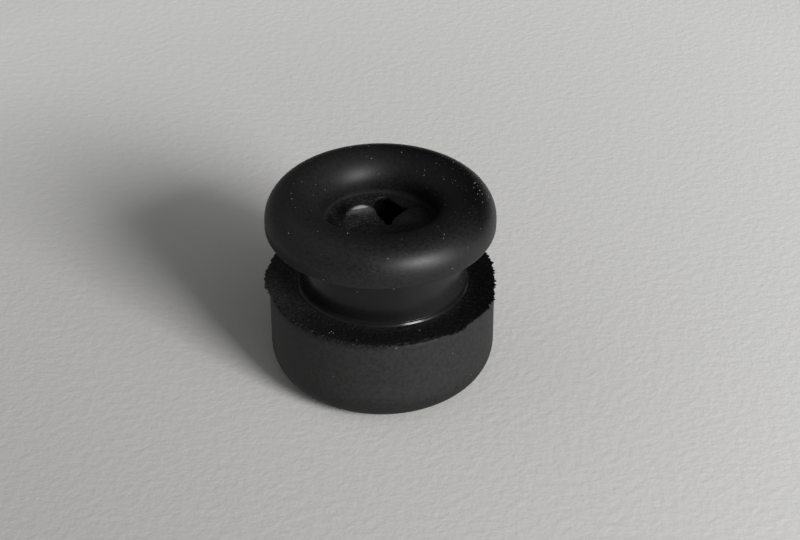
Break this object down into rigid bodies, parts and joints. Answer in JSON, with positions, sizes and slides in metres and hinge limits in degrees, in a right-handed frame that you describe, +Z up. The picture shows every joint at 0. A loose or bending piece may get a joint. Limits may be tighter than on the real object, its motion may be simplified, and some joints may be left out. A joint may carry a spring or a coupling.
{
  "type": "rubber grommet",
  "caption": "Small round rubber grommet with a rolled head, a groove for a panel edge, a heavy rounded base and a torn membrane inside its bore.",
  "frame": {"origin": "on the bore's axis in the plane the base stands on", "axes": "+Z up along the bore from the base to the rolled head; -Y is the front, the side the tongue inside the bore is hinged on; +X is the right"},
  "size_m": [0.0122, 0.0122, 0.0107],
  "materials": {
    "rubber": "satin black moulded rubber, rough where the mould's skin was torn"
  },
  "bodies": {
    "root": {"grommet": "rubber"}
  },
  "joints": []
}
